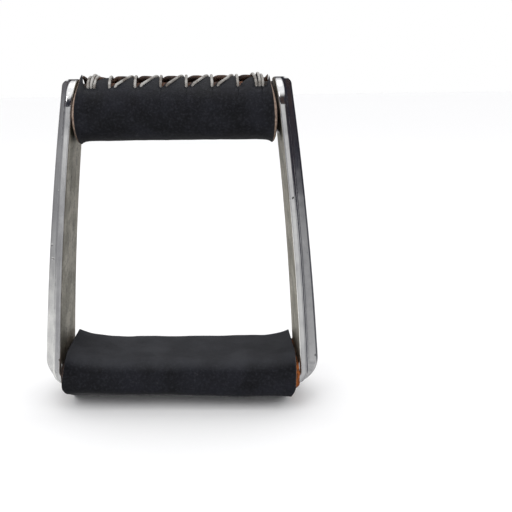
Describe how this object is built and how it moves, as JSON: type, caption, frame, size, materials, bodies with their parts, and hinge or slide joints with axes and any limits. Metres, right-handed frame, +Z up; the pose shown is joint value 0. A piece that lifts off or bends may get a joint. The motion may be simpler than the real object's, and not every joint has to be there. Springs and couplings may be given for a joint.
{
  "type": "western stirrup iron",
  "caption": "Western stirrup: ribbed cast aluminium frame with a wide tread, and black leather laced with waxed thread round the top bar and the tread.",
  "frame": {"origin": "middle of the tread's underside, on the surface that the stirrup stands on", "axes": "+X across the stirrup along the tread and the top bar, +Y from the front face to the back, +Z up through the foot opening"},
  "size_m": [0.1532, 0.0492, 0.1771],
  "materials": {
    "polished_aluminium": "mirror polished outside, as-cast inside, with a few small casting pits",
    "black_leather": "matte, faintly mottled, with tan cut edges",
    "russet_leather": "matte, vegetable tanned",
    "waxed_thread": "off-white waxed thread, twisted"
  },
  "bodies": {
    "root": {"frame_casting": "polished_aluminium", "top_bar_underwrap": "russet_leather", "top_bar_cover": "black_leather", "tread_underwrap": "russet_leather", "tread_cover": "black_leather", "top_lace_start_wraps": "waxed_thread", "top_lace_straight_strands": "waxed_thread", "top_lace_diagonal_strands": "waxed_thread", "top_lace_end_wraps": "waxed_thread", "tread_lace_start_wraps": "waxed_thread", "tread_lace_straight_strands": "waxed_thread", "tread_lace_diagonal_strands": "waxed_thread", "tread_lace_end_wraps": "waxed_thread"}
  },
  "joints": []
}
